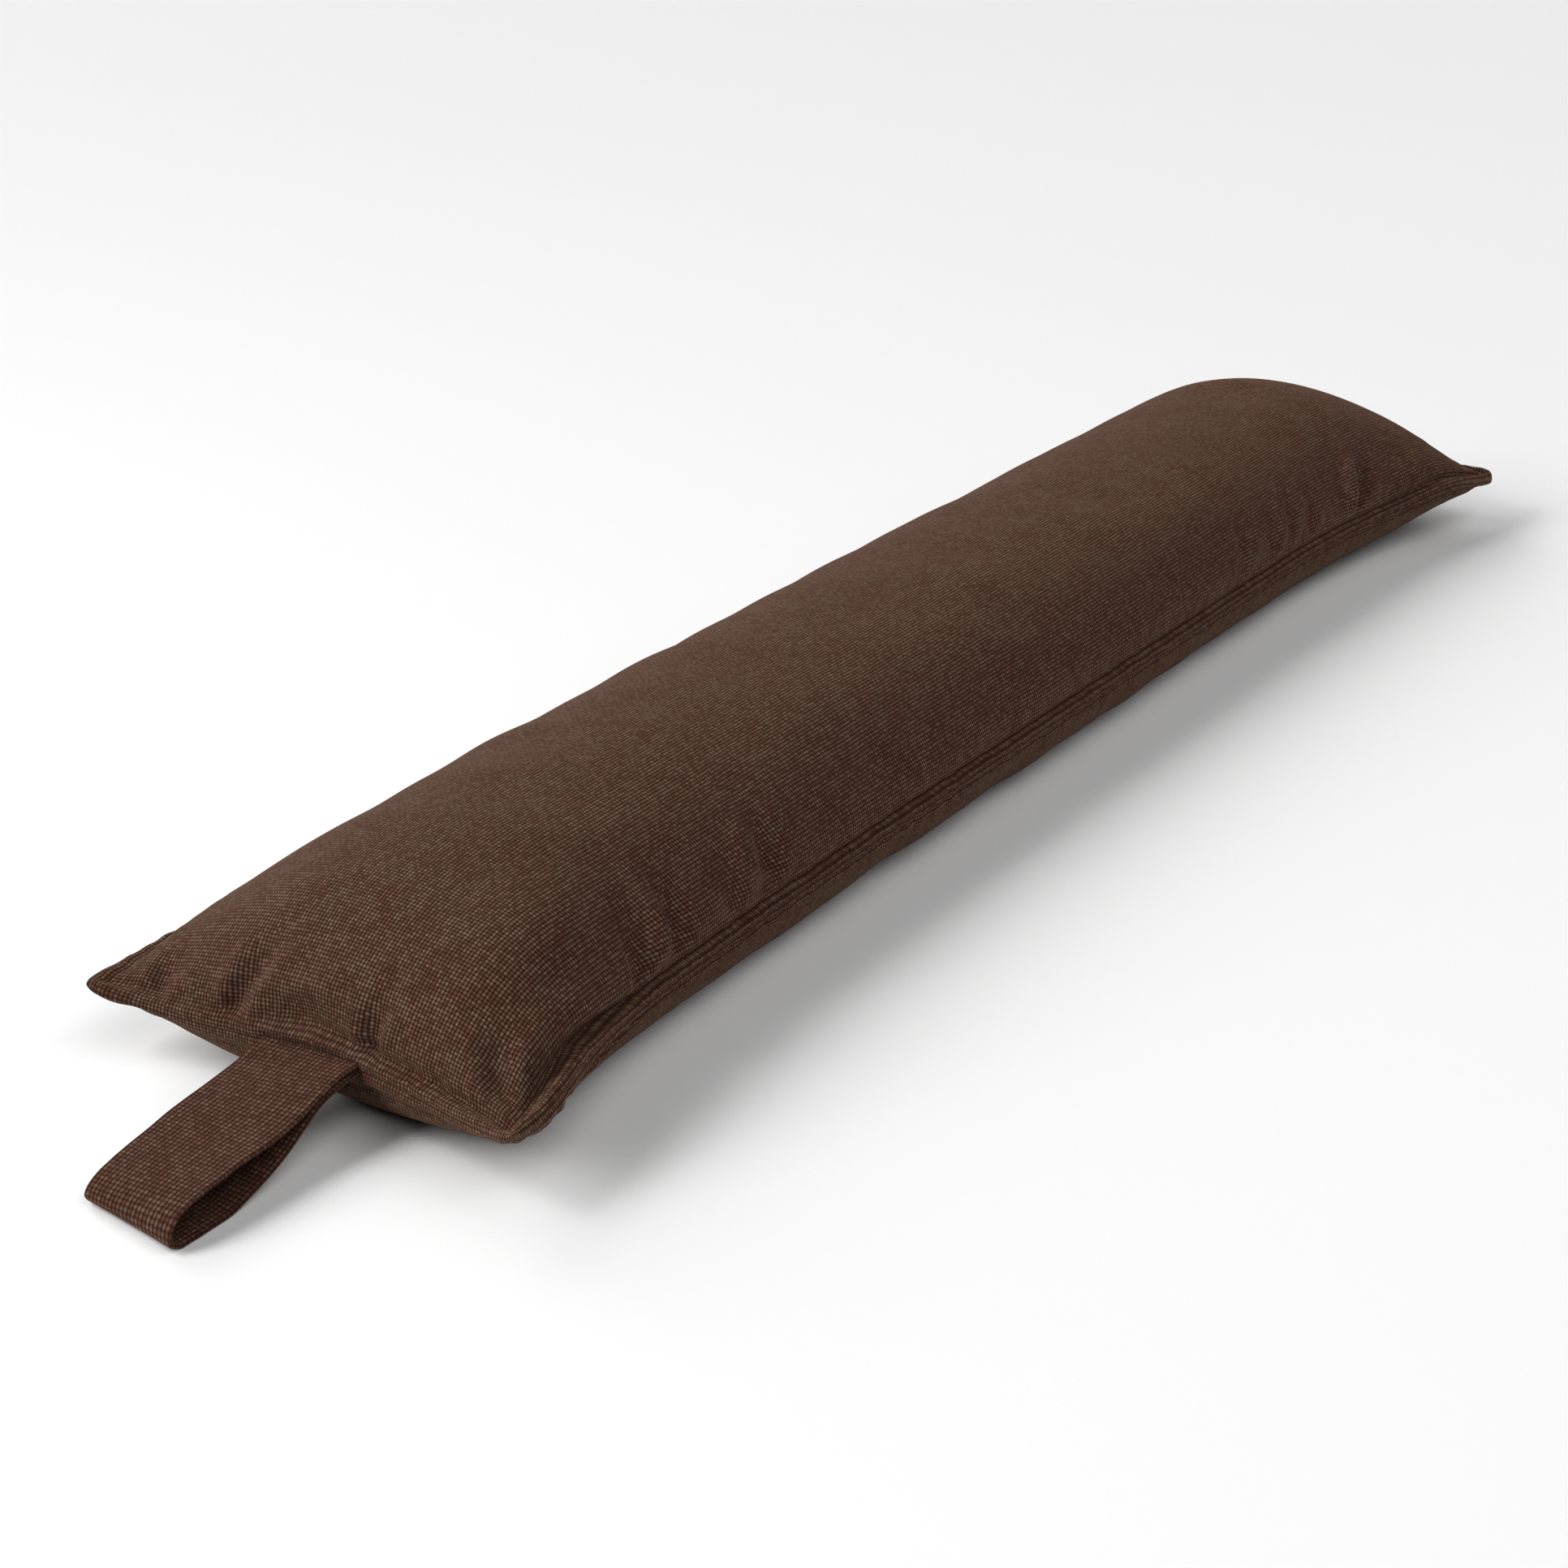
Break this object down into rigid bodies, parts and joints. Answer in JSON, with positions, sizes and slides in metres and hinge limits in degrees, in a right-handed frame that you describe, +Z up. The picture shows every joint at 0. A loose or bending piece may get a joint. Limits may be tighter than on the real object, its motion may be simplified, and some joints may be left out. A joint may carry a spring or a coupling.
{
  "type": "draught excluder",
  "caption": "Long filled draught excluder cushion of sewn woven panels, with drawn-in ends, turned-out corners and a webbing carry loop.",
  "frame": {"origin": "on the surface the cushion lies on, under the middle of its length and width", "axes": "+X along the cushion from the carry loop to the plain end, +Y across it to the back, +Z up"},
  "size_m": [0.9084, 0.1985, 0.0829],
  "materials": {
    "cushion_cloth": "matt plain-woven furnishing cloth of dark brown and taupe yarns",
    "webbing": "matt basket-woven webbing, reddish dark brown"
  },
  "bodies": {
    "root": {"cushion": "cushion_cloth", "handle_loop": "webbing"}
  },
  "joints": []
}
